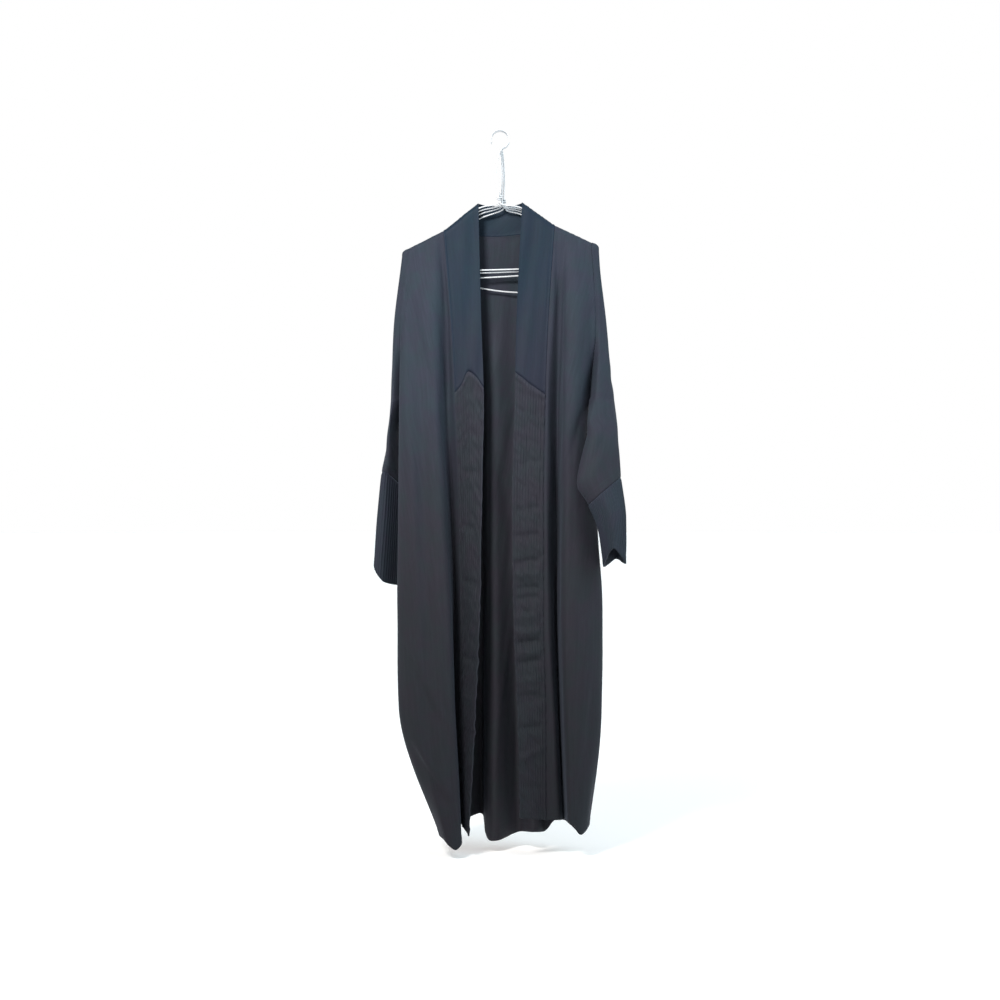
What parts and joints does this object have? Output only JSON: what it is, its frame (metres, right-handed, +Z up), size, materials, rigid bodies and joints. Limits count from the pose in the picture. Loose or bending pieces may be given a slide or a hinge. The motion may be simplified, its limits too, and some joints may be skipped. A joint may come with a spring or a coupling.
{
  "type": "abaya cloak on wire hangers",
  "caption": "Long open-fronted abaya cloak with a pin-tucked front band and cuffs, hanging in soft folds on a bundle of white coated wire hangers.",
  "frame": {"origin": "where a rail bears in the hangers' hooks", "axes": "+Z up, +X to the viewer's right, the front faces -Y"},
  "size_m": [0.5463, 0.2496, 1.5542],
  "materials": {
    "cloth": "soft matt crepe, blue-black",
    "smooth_band": "smooth twill, navy-black, faint sheen",
    "tucked_cloth": "pin-tucked crepe, blue-black",
    "white_coating": "white vinyl coating on steel wire"
  },
  "bodies": {
    "root": {"front_left": "cloth", "front_right": "cloth", "back": "cloth", "sleeve_left": "cloth", "sleeve_right": "cloth", "cuff_left": "tucked_cloth", "cuff_right": "tucked_cloth", "band_left_lower": "tucked_cloth", "band_right_lower": "tucked_cloth", "band_left_upper": "smooth_band", "band_right_upper": "smooth_band", "back_neck_band": "smooth_band", "hanger_1": "white_coating", "hanger_2": "white_coating", "hanger_3": "white_coating", "hanger_4": "white_coating"}
  },
  "joints": []
}
